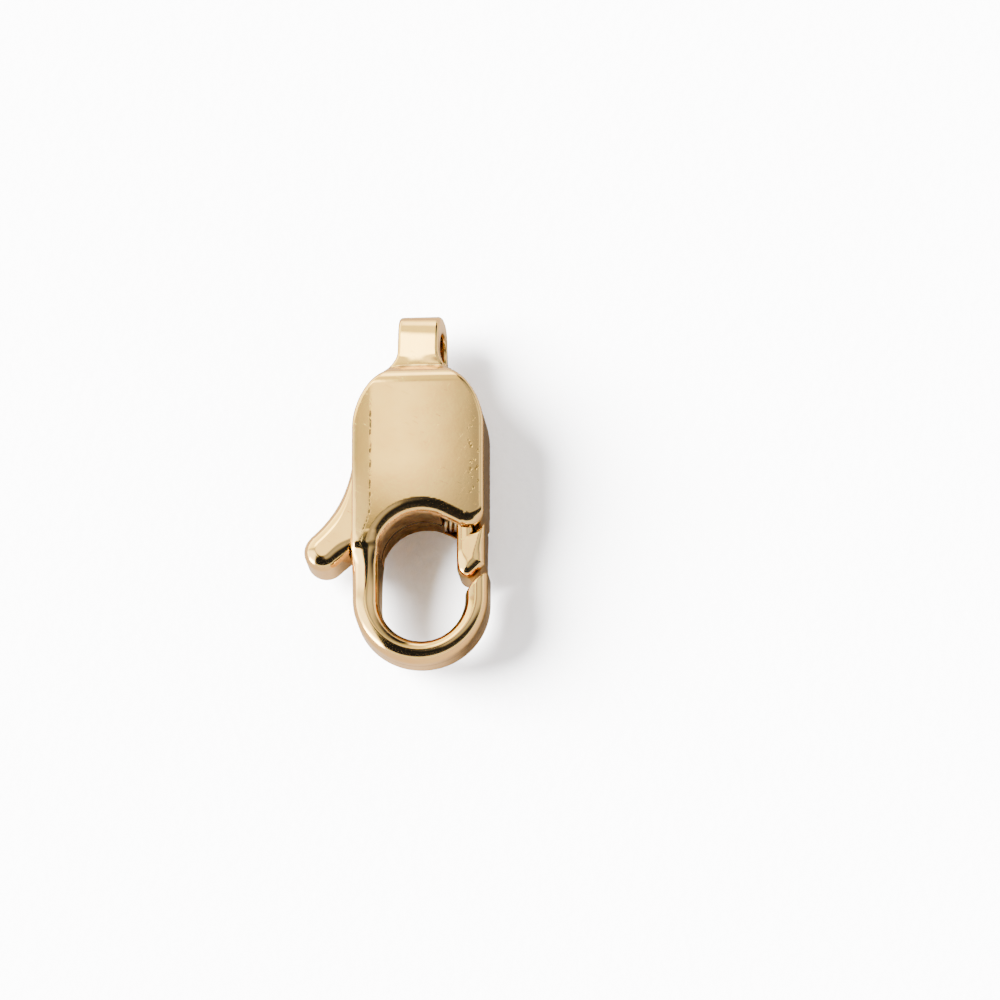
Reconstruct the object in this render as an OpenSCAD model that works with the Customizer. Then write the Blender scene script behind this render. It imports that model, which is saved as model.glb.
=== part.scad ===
// Flat lobster clasp, lying on its back plate, in millimetres.
// The origin is the centre of the bail eye. +X is to the right seen from the front,
// +Y points from the opening to the bail, and +Z points out of the front plate.

/* [Bail] */
// Diameter of the hole through the bail
eye_d = 1.2; // [0.9:0.05:1.5]
// Thickness of the folded strip over the top of the eye
strip_t = 0.5; // [0.4:0.05:0.7]
// Thickness of the flattened strip at the front and the back of the eye
leg_t = 0.4; // [0.35:0.05:0.6]
// Width of the strip at its top
strip_top_w = 1.5; // [1.4:0.05:1.6]
// Width of the strip at its waist, above the flare
strip_w = 1.3; // [1.1:0.05:1.4]
// Solid metal between the eye and the crease at the top of the plates
neck_t = 0.15; // [0.1:0.05:0.3]
// Radius of the hollow curve where the strip runs into the shoulders
flare_r = 0.9; // [0.6:0.05:1]
// Distance from the plate's face down to the strip at the crease
crease_drop = 0.65; // [0.6:0.05:0.75]

/* [Body] */
// Width over both sides of the body
body_w = 4.4; // [4.2:0.1:4.8]
// Thickness over both plates
body_t = 3.0; // [2.8:0.1:3.4]
// Thickness of each plate
plate_t = 0.45; // [0.35:0.05:0.5]
// Thickness of the rim walls between the plates
rim_t = 0.35; // [0.3:0.05:0.4]
// Rounding of the edges of the plates
body_edge_r = 0.3; // [0.2:0.05:0.35]
// Rounding of the plates where they run down to the crease
crown_r = 0.6; // [0.5:0.05:0.7]
// Width of the body at the crease
crown_w = 1.58; // [1.4:0.05:1.7]
// Distance of each shoulder arc's centre past the middle line
shoulder_off = 0.3; // [0.2:0.05:0.5]
// Length of the straight sides, from the shoulder arcs to the centre of the opening's arch
side_len = 4.31; // [4.1:0.05:4.8]
// Solid metal between the crease and the top of the hollow
crown_wall = 0.45; // [0.35:0.05:0.6]

/* [Opening] */
// Width of the opening
opening_w = 2.86; // [2.7:0.05:3]
// Length of the opening from its arch to the heel of the hook
opening_len = 4.36; // [4.1:0.05:4.8]
// Radius of the rounded corner that covers the root of the gate
lobe_r = 0.55; // [0.5:0.05:0.6]
// Slope of the plate's edge between the arch and that corner, in degrees
lobe_slope = 27; // [24:1:32]

/* [Hook] */
// Thickness of the hook from front to back
hook_t = 2.1; // [1.9:0.05:2.3]
// Width of the arm that carries the hook
arm_w = 0.87; // [0.8:0.05:1]
// Width of the hook at its heel
heel_w = 0.7; // [0.6:0.05:0.9]
// Width of the hook below its tip
tip_w = 0.73; // [0.7:0.05:0.85]
// Rounding of the hook's edges
hook_edge_r = 0.33; // [0.25:0.01:0.34]
// Height of the tip's inner corner above the centre of the heel
tip_rise = 0.24; // [0.1:0.05:0.4]
// Slope of the tip's face, in degrees
tip_slope = 44.5; // [40:1:50]
// Rounding of the tip's outer corner
tip_r = 0.1; // [0.05:0.05:0.15]
// Length of the slope from the face of the plate down to the face of the arm
step_len = 0.5; // [0.4:0.05:0.7]

/* [Lever] */
// Thickness of the lever
lever_t = 1.9; // [1.7:0.05:1.95]
// Rounding of the lever's edges
lever_edge_r = 0.2; // [0.12:0.02:0.22]
// Radius of the lever's boss round the pivot
hub_r = 0.62; // [0.55:0.01:0.65]
// Height of the pivot above the top of the opening
pivot_rise = 0.93; // [0.88:0.01:1]
// Width of the gate inside the body
root_w = 0.54; // [0.5:0.02:0.58]
// Gap between the end of the gate and the tip of the hook
tip_gap = 0.14; // [0.1:0.02:0.2]
// Rounding of the gate's inner corner
gate_r = 0.25; // [0.15:0.05:0.3]
// Radius of the rounded end of the thumb tab
tab_r = 0.63; // [0.55:0.02:0.67]
// Reach of the thumb tab's end circle from the side of the body
tab_reach = 1.0; // [0.9:0.05:1.3]
// Height of the thumb tab's end circle above the centre of the opening's arch
tab_rise = 0.18; // [0.1:0.02:0.3]
// Radius of the hollow curve for the thumb
thumb_r = 4.1; // [3.8:0.1:4.5]
// Direction from the tab's end circle to the centre of the hollow curve, in degrees
thumb_angle = 130.2; // [128:1:132]
// Slope of the tab's lower edge, in degrees
tab_slope = 43; // [41:1:45]
// Height of the arm's inner corner above the pivot
arm_rise = 1.05; // [0.9:0.05:1.15]
// Rounding of the arm's inner corner
shoulder_r = 0.3; // [0.25:0.05:0.4]

/* [Pivot and spring] */
// Diameter of the pivot pin
pin_d = 0.7; // [0.6:0.02:0.8]
// Outer diameter of the coil spring
spring_d = 0.6; // [0.5:0.02:0.62]
// Diameter of the spring's wire
wire_d = 0.1; // [0.08:0.01:0.12]
// Number of turns of the spring
spring_turns = 4; // [3:1:5]
// Depth of the pocket that holds the spring in the gate
pocket_depth = 0.25; // [0.2:0.01:0.28]
// Distance from the top of the opening down to the spring's axis
spring_drop = 0.09; // [0.07:0.01:0.12]

/* [Clearances] */
// Radial clearance of the pin in the lever
pin_clearance = 0.04; // [0.02:0.01:0.06]
// Gap between the lever and the rims beside it
side_gap = 0.04; // [0.03:0.01:0.08]
// Gap between the lever's arm and the rim round the opening
arm_gap = 0.1; // [0.08:0.01:0.15]
// Gap between the gate and the end of that rim, which the gate swings into
rim_end_gap = 0.55; // [0.5:0.01:0.6]
// Gap between the gate's shoulder and the rounded corner over it
lobe_gap = 0.1; // [0.08:0.01:0.15]
// Gap under the tab where it leaves the body
slot_gap = 0.12; // [0.1:0.01:0.2]
// Distance of the slot's top below the shoulder arcs
slot_drop = 0.05; // [0:0.05:0.1]
// Gap at each end of the spring and round it in its pocket
spring_gap = 0.02; // [0.01:0.005:0.03]
// Distance that the hook's side lies inside the body's side
hook_inset = 0.01; // [0.005:0.005:0.02]

/* [Hidden] */
$fn = 64;
// Length by which a cut runs past a surface
past = 1;
// Number of flats on a rounded edge
edge_steps = 4;

eye_r = eye_d / 2;
eye_top_r = eye_r + strip_t;
bail_z = eye_r + leg_t;
crease_y = -(eye_r + neck_t);
side_x = body_w / 2;
face_z = body_t / 2;
hollow_z = face_z - plate_t;
crease_z = face_z - crease_drop;

arch_r = side_x + shoulder_off;
arch_y = crease_y - sqrt(arch_r * arch_r - pow(crown_w / 2 + shoulder_off, 2));
arch_apex_angle = acos(shoulder_off / arch_r);

opening_r = opening_w / 2;
opening_c = [-side_x + arm_w + opening_r, arch_y - side_len];
heel_c = opening_c - [0, opening_len - opening_w];
opening_top_y = opening_c.y + opening_r;

hook_right_x = opening_c.x + opening_r + tip_w;
hook_left_x = -side_x + hook_inset;
hook_r = (hook_right_x - hook_left_x) / 2;
hook_c = [hook_right_x - hook_r, heel_c.y - opening_r - heel_w + hook_r];

// Unit vector square to the plate's edge between the arch and the rounded corner
lobe_n = [sin(lobe_slope), cos(lobe_slope)];
lobe_x = side_x - lobe_r;
lobe_c = [lobe_x, (lobe_n * opening_c + opening_r + lobe_r - lobe_n.x * lobe_x) / lobe_n.y];

// Unit vector square to the tip's face, pointing to the gate
tip_n = [-sin(tip_slope), cos(tip_slope)];
tip_along = [cos(tip_slope), sin(tip_slope)];
tip_corner = [opening_c.x + opening_r, heel_c.y + tip_rise];

root_x = side_x - rim_t - side_gap;
gate_x = root_x - root_w;
pivot = [root_x - hub_r, opening_top_y + pivot_rise];
rim_r = opening_r + rim_t;
arm_r = rim_r + arm_gap;
spring_y = opening_top_y - spring_drop;
pocket_r = spring_d / 2 + spring_gap;

rim_end_x = gate_x - rim_end_gap;

tab_c = [-side_x - tab_reach, opening_c.y + tab_rise];
thumb_dir = [cos(thumb_angle), sin(thumb_angle)];
thumb_c = tab_c + (thumb_r + tab_r) * thumb_dir;
tab_n = [sin(tab_slope), -cos(tab_slope)];
tab_along = [cos(tab_slope), sin(tab_slope)];
tab_low = tab_c + tab_r * tab_n;
// Where the tab's lower edge meets the arc that clears the rim round the opening
to_opening = opening_c - tab_low;
tab_meet = tab_low + (to_opening * tab_along
    - sqrt(arm_r * arm_r - pow(cross(to_opening, tab_along), 2))) * tab_along;
tab_meet_angle = atan2(tab_meet.y - opening_c.y, tab_meet.x - opening_c.x);
slot_floor_y = tab_low.y + (-side_x - tab_low.x) * tan(tab_slope) - slot_gap;
slot_top_y = arch_y - slot_drop;
// Face of the plate ends here on the arm's side, and slopes down to the arm
step_y = slot_floor_y + slot_gap;
step_drop = face_z - hook_t / 2;
// Share of the slope's length by which it runs on inside the arm
run_on = 0.8;
step_end = [step_y - (1 + run_on) * step_len, face_z - (1 + run_on) * step_drop];

// Rounded corner between the lever's arm and the hollow curve for the thumb
shoulder_y = pivot.y + arm_rise - shoulder_r;
shoulder_turn = asin((shoulder_y - thumb_c.y) / (thumb_r + shoulder_r));
shoulder_c = thumb_c + (thumb_r + shoulder_r) * [cos(shoulder_turn), sin(shoulder_turn)];

// Points along an arc with both its ends
function arc(c, r, from, to, n) = [for (i = [0:n])
    c + r * [cos(from + (to - from) * i / n), sin(from + (to - from) * i / n)]];

// Points along a line with both its ends
function line(p, q, n) = [for (i = [0:n]) p + (q - p) * i / n];

function reversed(list) = [for (i = [len(list) - 1:-1:0]) list[i]];

// An outline seen from the side, turned over to the other plate
function over(outline) = [for (p = outline) [p[0], -p[1]]];

// A list without its first point, which the list before it already has
function rest(list) = [for (i = [1:len(list) - 1]) list[i]];

function unit(v) = v / norm(v);

function left_of(v) = [-v.y, v.x];

// An anticlockwise outline moved inwards by d
function inset(pts, d) = let (n = len(pts)) [for (i = [0:n - 1])
    let (
        before = left_of(unit(pts[i] - pts[(i + n - 1) % n])),
        after = left_of(unit(pts[(i + 1) % n] - pts[i]))
    ) pts[i] + d * (before + after) / (1 + before * after)];

// A flat piece of thickness t between two edge lines of as many points each, with all its edges
// rounded. The outline runs along the first line and back along the second, anticlockwise.
module rounded_flat(first, second, t, r) {
    outline = concat(first, reversed(second));
    n = len(first);
    m = len(outline);
    low = [for (j = [0:edge_steps]) let (a = 90 * j / edge_steps)
        [r * (1 - sin(a)), -t / 2 + r * (1 - cos(a))]];
    rings = concat(low, [for (step = reversed(low)) [step[0], -step[1]]]);
    points = [for (ring = rings) for (p = inset(outline, ring[0])) [p.x, p.y, ring[1]]];
    top = (len(rings) - 1) * m;
    sides = [for (j = [0:len(rings) - 2]) for (i = [0:m - 1])
        let (a = j * m + i, b = j * m + (i + 1) % m)
        each [[a, a + m, b + m], [a, b + m, b]]];
    caps = [for (i = [0:n - 2])
        let (a = i, b = i + 1, c = m - 2 - i, d = m - 1 - i)
        each [[a, b, c], [a, c, d], [top + a, top + c, top + b], [top + a, top + d, top + c]]];
    polyhedron(points, concat(sides, caps));
}

// An outline in Y and Z, drawn out across the width of the body
module across(width) {
    rotate([90, 0, 90]) linear_extrude(width, center = true) children();
}

// Front and back plates with their sides, as one block before it is hollowed
module body_block() {
    lobe_steps = 8;
    arch_steps = 14;
    leg_y = step_end[0];
    lobe_arc = arc(lobe_c, lobe_r, 270 - lobe_slope, 360, lobe_steps + 1);
    outer = concat(
        rest(lobe_arc),
        arc([-shoulder_off, arch_y], arch_r, 0, arch_apex_angle, arch_steps),
        rest(arc([shoulder_off, arch_y], arch_r, 180 - arch_apex_angle, 180, arch_steps)),
        [[-side_x, leg_y]]);
    inner = concat(
        [lobe_arc[0]],
        arc(opening_c, opening_r, 90 - lobe_slope, 180, lobe_steps + 2 * arch_steps),
        [[opening_c.x - opening_r, leg_y]]);
    crown = concat(
        arc([crease_y - crown_r, face_z - crown_r], crown_r, 0, 90, 8),
        [[crease_y - crown_r, face_z + past], [past, face_z + past]]);
    step = [[step_y, face_z], [step_y, face_z + past],
        [step_end[0] - past, face_z + past], [step_end[0] - past, step_end[1]], step_end];
    difference() {
        rounded_flat(outer, inner, body_t, body_edge_r);
        across(body_w + past) polygon(concat(reversed(crown), over(crown)));
        across(body_w + past) polygon(step);
        across(body_w + past) polygon(over(step));
    }
}

// Outline of the bail seen from the side
function bail_side_outline() =
    let (
        turn = acos(bail_z / eye_top_r),
        flat_y = eye_top_r * sin(turn),
        root_y = crease_y - crown_r / 2,
        front = concat(
            arc([0, 0], eye_top_r, 0, 90 - turn, 10),
            [[-flat_y, bail_z], [crease_y, crease_z], [root_y, crease_z]]))
    concat(front, reversed(over(front)));

// Outline of half of the bail seen from the front, flared into the shoulder
function bail_half_outline() =
    let (
        c_x = strip_w / 2 + flare_r,
        c_y = arch_y + sqrt(pow(arch_r + flare_r, 2) - pow(c_x + shoulder_off, 2)),
        end = atan2(arch_y - c_y, -shoulder_off - c_x) + 360,
        flare = arc([c_x, c_y], flare_r, 180, end, 8))
    concat([[strip_top_w / 2, eye_top_r + past], [strip_top_w / 2, eye_r]], flare,
        [[flare[8].x, crease_y - crown_r / 2]]);

// Folded strip with its eye
module bail() {
    half = bail_half_outline();
    difference() {
        intersection() {
            across(body_w) polygon(bail_side_outline());
            linear_extrude(body_t, center = true)
                polygon(concat(half, [for (p = reversed(half)) [-p.x, p.y]]));
        }
        rotate([0, 90, 0]) cylinder(h = body_w, r = eye_r, center = true);
    }
}

// Arm, heel and tip of the hook
module hook() {
    turn_steps = 28;
    arm_top = slot_floor_y + hook_edge_r + slot_gap;
    tip_end = heel_c.y + opening_r;
    outer = concat(
        [[hook_left_x, arm_top]],
        arc(hook_c, hook_r, 180, 360, turn_steps),
        [[hook_right_x, tip_end]]);
    inner = concat(
        [[opening_c.x - opening_r, arm_top]],
        arc(heel_c, opening_r, 180, 360, turn_steps),
        [[opening_c.x + opening_r, tip_end]]);
    corner_x = hook_right_x - tip_r;
    corner_c = [corner_x, (tip_n * tip_corner - tip_r - tip_n.x * corner_x) / tip_n.y];
    difference() {
        rounded_flat(outer, inner, hook_t, hook_edge_r);
        linear_extrude(hook_t + past, center = true) polygon(concat(
            arc(corner_c, tip_r, 0, 90 + tip_slope, 6),
            [tip_corner - past * tip_along,
                [tip_corner.x - past, tip_end + past],
                [hook_right_x + past, tip_end + past],
                [hook_right_x + past, corner_c.y]]));
    }
}

// Space between the plates, with the slot for the tab and the way out for the gate
module hollow() {
    hollow_r = arch_r - rim_t;
    rise = crease_y - crown_wall - arch_y;
    cap_angle = asin(rise / hollow_r);
    wall_x = side_x - rim_t;
    floor_angle = 180 - asin((slot_floor_y - opening_c.y) / rim_r);
    end_angle = acos((rim_end_x - opening_c.x) / rim_r);
    linear_extrude(2 * hollow_z, center = true) polygon(concat(
        [[-side_x - past, slot_floor_y]],
        arc(opening_c, rim_r, floor_angle, end_angle, 24),
        [[rim_end_x, opening_c.y], [wall_x, opening_c.y]],
        arc([-shoulder_off, arch_y], hollow_r, 0, cap_angle, 8),
        arc([shoulder_off, arch_y], hollow_r, 180 - cap_angle, 180, 8),
        [[-wall_x, slot_top_y], [-side_x - past, slot_top_y]]));
}

// One folded and soldered piece: plates, rims, bail and hook
module housing() {
    color("#d9bd86") union() {
        bail();
        difference() {
            union() {
                body_block();
                hook();
            }
            hollow();
        }
    }
}

// Thumb tab, arm, boss and gate in one piece
module lever() {
    to_shoulder = shoulder_c - pivot;
    arm_normal = atan2(to_shoulder.y, to_shoulder.x)
        - acos((hub_r - shoulder_r) / norm(to_shoulder));
    lobe_clear_r = lobe_r + lobe_gap;
    root_turn = -acos((root_x - lobe_x) / lobe_clear_r);
    side_turn = -acos((side_x - lobe_x) / lobe_clear_r);
    arm_turn = acos((rim_end_x - opening_c.x) / arm_r);
    tab_end = (thumb_angle + 270 + tab_slope) / 2;
    // Half of the angle of the last flat at the end of the tab
    end_turn = 6;
    gate_end_y = tip_corner.y - past;
    pocket_low = spring_y - pocket_r - spring_gap;
    pocket_high = spring_y + pocket_r + spring_gap;
    outer = concat(
        [[side_x, gate_end_y]],
        arc(lobe_c, lobe_clear_r, side_turn, root_turn, 4),
        arc(pivot, hub_r, 0, arm_normal, 6),
        arc(shoulder_c, shoulder_r, arm_normal, 180 + shoulder_turn, 6),
        rest(arc(thumb_c, thumb_r, shoulder_turn, thumb_angle - 180, 8)),
        rest(arc(tab_c, tab_r, thumb_angle, tab_end - end_turn, 5)));
    inner = concat(
        line([gate_x, gate_end_y], [gate_x, pocket_low], 5),
        line([gate_x, spring_y], [gate_x, pocket_high], 2),
        arc(opening_c, arm_r, arm_turn, tab_meet_angle, 14),
        rest(line(tab_meet, tab_low, 4)),
        rest(arc(tab_c, tab_r, 270 + tab_slope, tab_end + end_turn, 5)));
    gate_face = tip_corner + tip_gap * tip_n;
    corner_x = gate_x + gate_r;
    corner_c = [corner_x, (tip_n * gate_face + gate_r - tip_n.x * corner_x) / tip_n.y];
    far = gate_face + 2 * past * tip_along;
    color("#dcc189") difference() {
        rounded_flat(outer, inner, lever_t, lever_edge_r);
        translate([pivot.x, pivot.y, 0])
            cylinder(h = body_t, r = pin_d / 2 + pin_clearance, center = true);
        translate([gate_x - past, spring_y, 0]) rotate([0, 90, 0])
            cylinder(h = past + pocket_depth, r = pocket_r);
        linear_extrude(lever_t + past, center = true) polygon(concat(
            arc(corner_c, gate_r, 180, 270 + tip_slope, 6),
            [far, [far.x, gate_end_y - past], [gate_x - past, gate_end_y - past],
                [gate_x - past, corner_c.y]]));
    }
}

// Plain post between the plates, which the lever turns on
module pivot_pin() {
    color("#b98f55") translate([pivot.x, pivot.y, 0])
        cylinder(h = 2 * hollow_z, r = pin_d / 2, center = true);
}

// Coil that pushes the gate shut
module spring() {
    coil_r = (spring_d - wire_d) / 2;
    from = rim_end_x + spring_gap + wire_d / 2;
    to = gate_x + pocket_depth - spring_gap - wire_d / 2;
    turn_steps = 16;
    sides = 6;
    rings = spring_turns * turn_steps;
    points = [for (i = [0:rings]) for (k = [0:sides - 1])
        let (a = 360 * i / turn_steps, b = 360 * k / sides, r = coil_r + wire_d / 2 * cos(b))
        [from + (to - from) * i / rings + wire_d / 2 * sin(b), spring_y + r * cos(a), r * sin(a)]];
    tube = [for (i = [0:rings - 1]) for (k = [0:sides - 1])
        let (a = i * sides + k, b = i * sides + (k + 1) % sides)
        each [[a, a + sides, b + sides], [a, b + sides, b]]];
    ends = [[for (k = [0:sides - 1]) k], [for (k = [sides - 1:-1:0]) rings * sides + k]];
    color("#cfcabf") polyhedron(points, concat(tube, ends));
}

housing();
lever();
pivot_pin();
spring();
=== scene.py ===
"""Flat lobster clasp: folded and gold plated housing, sprung lever, pivot pin and coil spring.

Shapes are worked out in millimetres, as distances from their surfaces, and turned into meshes in metres.
"""
import logging
import math
from collections.abc import Callable
from dataclasses import dataclass, field
from enum import Enum

import bpy
import numpy as np
from mathutils import Matrix, Vector


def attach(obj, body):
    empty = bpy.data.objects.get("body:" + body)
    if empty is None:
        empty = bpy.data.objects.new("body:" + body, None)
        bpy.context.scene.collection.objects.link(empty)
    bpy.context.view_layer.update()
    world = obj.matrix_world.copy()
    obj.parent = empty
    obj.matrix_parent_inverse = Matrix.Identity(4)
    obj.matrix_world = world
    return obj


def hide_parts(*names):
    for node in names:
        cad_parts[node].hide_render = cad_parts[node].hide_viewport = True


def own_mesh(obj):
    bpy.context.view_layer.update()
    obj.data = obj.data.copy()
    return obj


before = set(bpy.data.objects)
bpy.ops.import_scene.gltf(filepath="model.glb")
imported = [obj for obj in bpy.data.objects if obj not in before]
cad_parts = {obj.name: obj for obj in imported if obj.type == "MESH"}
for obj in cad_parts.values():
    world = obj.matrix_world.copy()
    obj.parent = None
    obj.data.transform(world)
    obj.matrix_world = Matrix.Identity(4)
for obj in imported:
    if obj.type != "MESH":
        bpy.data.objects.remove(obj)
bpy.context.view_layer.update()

MM = 0.001
LOG = logging.getLogger("clasp")
Distance = Callable[[np.ndarray, np.ndarray, np.ndarray], np.ndarray]
Point = tuple[float, float]


def rounded(a: np.ndarray, b: np.ndarray, radius: float | np.ndarray) -> np.ndarray:
    """Overlap of two regions with a round edge where they meet.

    Args:
        a: distances from the first region, negative inside.
        b: distances from the second region.
        radius: radius of the edge.

    Returns:
        Distances from the overlap.
    """
    u, v = a + radius, b + radius
    outside = np.hypot(np.maximum(u, 0), np.maximum(v, 0))
    return np.minimum(np.maximum(u, v), 0) + outside - radius


def soft_overlap(a: np.ndarray, b: np.ndarray, width: float) -> np.ndarray:
    """Overlap of two regions whose edge is eased over a given width."""
    ease = np.maximum(width - np.abs(a - b), 0) / width
    return np.maximum(a, b) + ease * ease * width / 4


def soft_union(a: np.ndarray, b: np.ndarray, width: float) -> np.ndarray:
    """Union of two regions whose inner corner is filled over a given width."""
    return -soft_overlap(-a, -b, width)


def eased(t: np.ndarray) -> np.ndarray:
    """Smooth step from 0 to 1."""
    t = np.clip(t, 0, 1)
    return t * t * (3 - 2 * t)


def soft_ramp(t: np.ndarray, ease: float) -> np.ndarray:
    """Grows evenly from 0 once a value passes 0.

    Args:
        t: the values.
        ease: width of the round start of the slope.

    Returns:
        About 0 below 0, and about the value itself above.
    """
    return np.logaddexp(0, t / ease) * ease


def with_corner(flat: np.ndarray, x: np.ndarray, y: np.ndarray, centre: Point, radius: float,
                start: float, end: float) -> np.ndarray:
    """Rounds a corner of a flat outline.

    Args:
        flat: distances from the outline with its sharp corner.
        x: places of the points along X.
        y: places of the points along Y.
        centre: centre of the round corner.
        radius: its radius.
        start: direction in which the corner starts, in degrees.
        end: direction in which it ends, anticlockwise from the start.

    Returns:
        Distances from the outline with the round corner.
    """
    middle, half = math.radians((start + end) / 2), math.radians((end - start) / 2)
    dx, dy = x - centre[0], y - centre[1]
    reach = np.hypot(dx, dy)
    within = dx * math.cos(middle) + dy * math.sin(middle) >= reach * math.cos(half)
    return np.where(within, reach - radius, flat)


def heading(p: Point, q: Point) -> float:
    """Direction from one point to another, in degrees."""
    return math.degrees(math.atan2(q[1] - p[1], q[0] - p[0]))


@dataclass(frozen=True)
class Opening:
    """Oblong opening that the housing and the lever are both set out from."""

    x: float = 0.10
    arch_y: float = -7.36
    heel_y: float = -8.76
    radius: float = 1.43

    def from_arch(self, x: np.ndarray, y: np.ndarray) -> np.ndarray:
        """Distances from the centre of the arch."""
        return np.hypot(x - self.x, y - self.arch_y)


@dataclass(frozen=True)
class Lobe:
    """Rounded corner of the plates that covers the root of the gate."""

    x: float = 1.65
    y: float = -5.877
    radius: float = 0.55
    slope: float = 27.0


@dataclass(frozen=True)
class TipCut:
    """Slanted face between the hook's tip and the gate."""

    x: float = 1.53
    y: float = -8.567
    slope: float = 44.5
    gap: float = 0.2

    def beyond(self, x: np.ndarray, y: np.ndarray, shift: float = 0.0) -> np.ndarray:
        """Distances past the slanted face, on the gate's side of it."""
        turn = math.radians(self.slope)
        return -(x - self.x) * math.sin(turn) + (y - self.y) * math.cos(turn) - shift


class Net:
    """Turns a shape given by distances into a mesh of even quads that lie on its surface."""

    passes = 2
    least_slope = 0.25
    most_move = 0.03
    smallest = 1e-6

    def __init__(self, shape: Distance, lines: tuple[np.ndarray, np.ndarray, np.ndarray]) -> None:
        """Keeps the shape and the grid lines along X, Y and Z.

        Args:
            shape: gives the distances of points from the surface.
            lines: grid lines along X, Y and Z, in millimetres.
        """
        self.shape = shape
        self.lines = lines

    def corners(self) -> tuple[np.ndarray, list[np.ndarray]]:
        """Finds a point in each grid cell that the surface crosses, and the quads between them.

        Returns:
            The points, and one list of quads for each grid direction.
        """
        grid = np.meshgrid(*self.lines, indexing="ij", sparse=True)
        values = self.shape(*grid)
        inside = values < 0
        cells = tuple(n - 1 for n in values.shape)
        total, count = np.zeros((3, *cells)), np.zeros(cells, np.int32)
        crossings = []
        for axis in range(3):
            low = [slice(None)] * 3
            high = [slice(None)] * 3
            low[axis], high[axis] = slice(None, -1), slice(1, None)
            a, b = values[tuple(low)], values[tuple(high)]
            edge = np.argwhere(inside[tuple(low)] != inside[tuple(high)])
            va, vb = a[tuple(edge.T)], b[tuple(edge.T)]
            place = np.stack([self.lines[k][edge[:, k]] for k in range(3)], 1)
            step = self.lines[axis][edge[:, axis] + 1] - place[:, axis]
            place[:, axis] += step * va / (va - vb)
            crossings.append((edge, va < 0))
            others = [k for k in range(3) if k != axis]
            for shift in ((0, 0), (0, 1), (1, 0), (1, 1)):
                cell = edge.copy()
                cell[:, others[0]] -= shift[0]
                cell[:, others[1]] -= shift[1]
                good = np.all((cell >= 0) & (cell < np.array(cells)), 1)
                where = tuple(cell[good].T)
                np.add.at(count, where, 1)
                for k in range(3):
                    np.add.at(total[k], where, place[good, k])
        used = count > 0
        number = np.full(cells, -1)
        number[used] = np.arange(used.sum())
        points = np.stack([total[k][used] / count[used] for k in range(3)], 1)
        quads = []
        for axis, (edge, starts_inside) in enumerate(crossings):
            one, two = [(axis + k) % 3 for k in (1, 2)]
            ring = []
            for shift in ((1, 1), (0, 1), (0, 0), (1, 0)):
                cell = edge.copy()
                cell[:, one] -= shift[0]
                cell[:, two] -= shift[1]
                ring.append(number[tuple(cell.T)])
            quad = np.stack(ring, 1)
            quad[~starts_inside] = quad[~starts_inside][:, ::-1]
            quads.append(quad)
        return points, quads

    def slopes(self, points: np.ndarray, step: float = 0.004) -> np.ndarray:
        """Direction in which the distance grows at each point.

        Args:
            points: the points, one in each row.
            step: how far from each point the distances are taken.

        Returns:
            One direction in each row, about as long as the distance grows fast.
        """
        tetra = np.array([[1, 1, 1], [1, -1, -1], [-1, 1, -1], [-1, -1, 1]], float)
        total = sum(t * self.shape(*(points + step * t).T)[:, None] for t in tetra)
        return total / (4 * step)

    def build(self, name: str) -> bpy.types.Object:
        """Makes the mesh, pulls its points onto the surface and sets their normals.

        Args:
            name: name of the new object.

        Returns:
            The object, linked to the scene.
        """
        points, quads = self.corners()
        for _ in range(self.passes):
            slope = self.slopes(points)
            size = np.maximum((slope * slope).sum(1), self.least_slope)
            move = slope * (self.shape(*points.T) / size)[:, None]
            points = points - np.clip(move, -self.most_move, self.most_move)
        normals = self.slopes(points)
        normals /= np.maximum(np.linalg.norm(normals, axis=1), self.smallest)[:, None]
        faces = np.concatenate(quads)
        mesh = bpy.data.meshes.new(name)
        mesh.from_pydata((points * MM).tolist(), [], faces.tolist())
        mesh.validate()
        mesh.shade_smooth()
        mesh.normals_split_custom_set_from_vertices(normals.tolist())
        piece = bpy.data.objects.new(name, mesh)
        bpy.context.scene.collection.objects.link(piece)
        LOG.info("%s: %d points, %d quads", name, len(points), len(faces))
        return piece


def grid_lines(low: float, high: float, step: float,
               fine: tuple[tuple[float, float, float], ...] = ()) -> np.ndarray:
    """Grid lines along one direction, closer together where the shape needs it.

    Args:
        low: first line.
        high: last line, or a little past it.
        step: distance between lines elsewhere.
        fine: stretches as (from, to, step).

    Returns:
        The places of the lines.
    """
    lines = [low]
    while lines[-1] < high:
        here = lines[-1]
        steps = [s for a, b, s in fine if a - step <= here <= b]
        lines.append(here + min(steps, default=step))
    return np.array(lines)


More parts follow.
